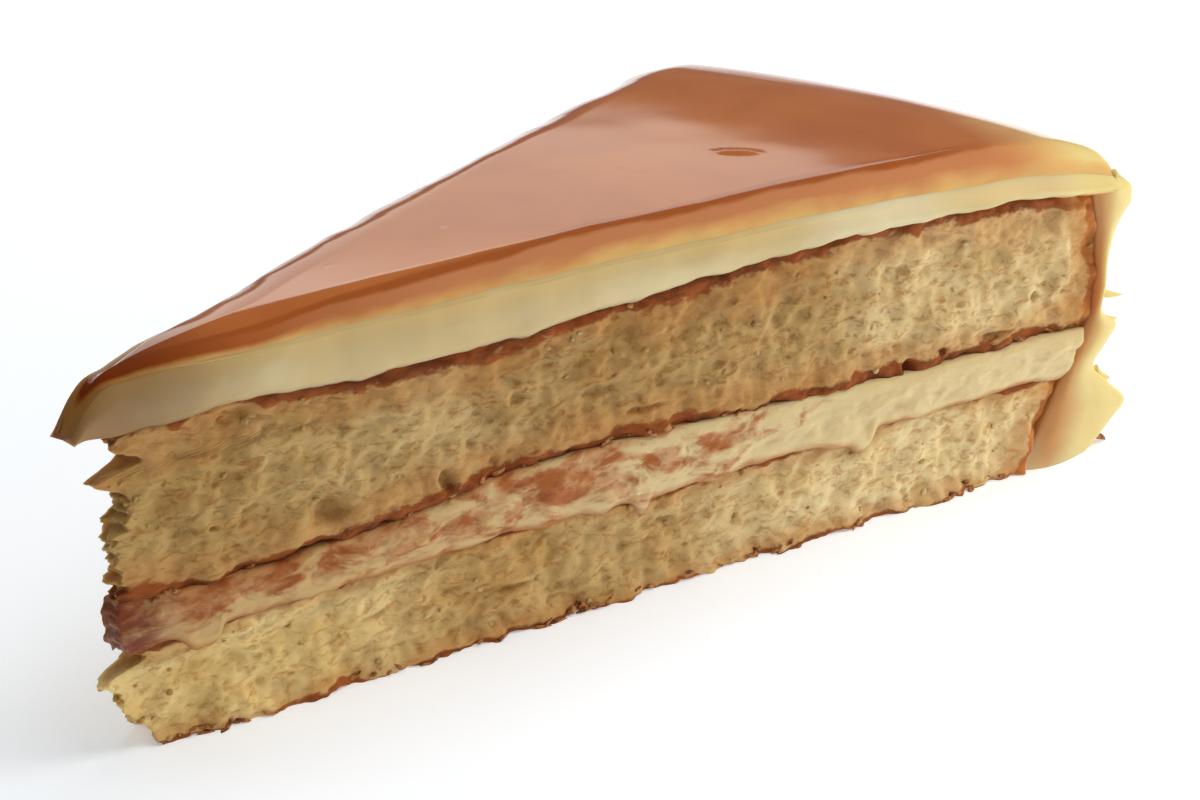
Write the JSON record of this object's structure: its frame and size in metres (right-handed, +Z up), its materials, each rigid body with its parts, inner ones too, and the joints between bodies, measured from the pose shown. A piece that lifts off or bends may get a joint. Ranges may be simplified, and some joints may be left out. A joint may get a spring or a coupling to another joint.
{
  "type": "honey cake slice",
  "caption": "Wedge-shaped slice of layered honey cake with cream filling, cream icing and a glossy caramel glaze, eaten as a dessert.",
  "frame": {"origin": "centre of the bounding box at the height of the plate the slice stands on", "axes": "+Z up; +X along the slice from its point to the cake's rim; -Y the cut face that the picture shows"},
  "size_m": [0.1321, 0.0693, 0.0411],
  "materials": {
    "sponge": "open crumb with browned crusts",
    "filling_cream": "soft satin cream",
    "icing_cream": "soft satin cream",
    "glaze": "wet gloss caramel"
  },
  "bodies": {
    "root": {"lower_sponge": "sponge", "cream_filling": "filling_cream", "upper_sponge": "sponge", "cream_icing": "icing_cream", "honey_glaze": "glaze"}
  },
  "joints": []
}
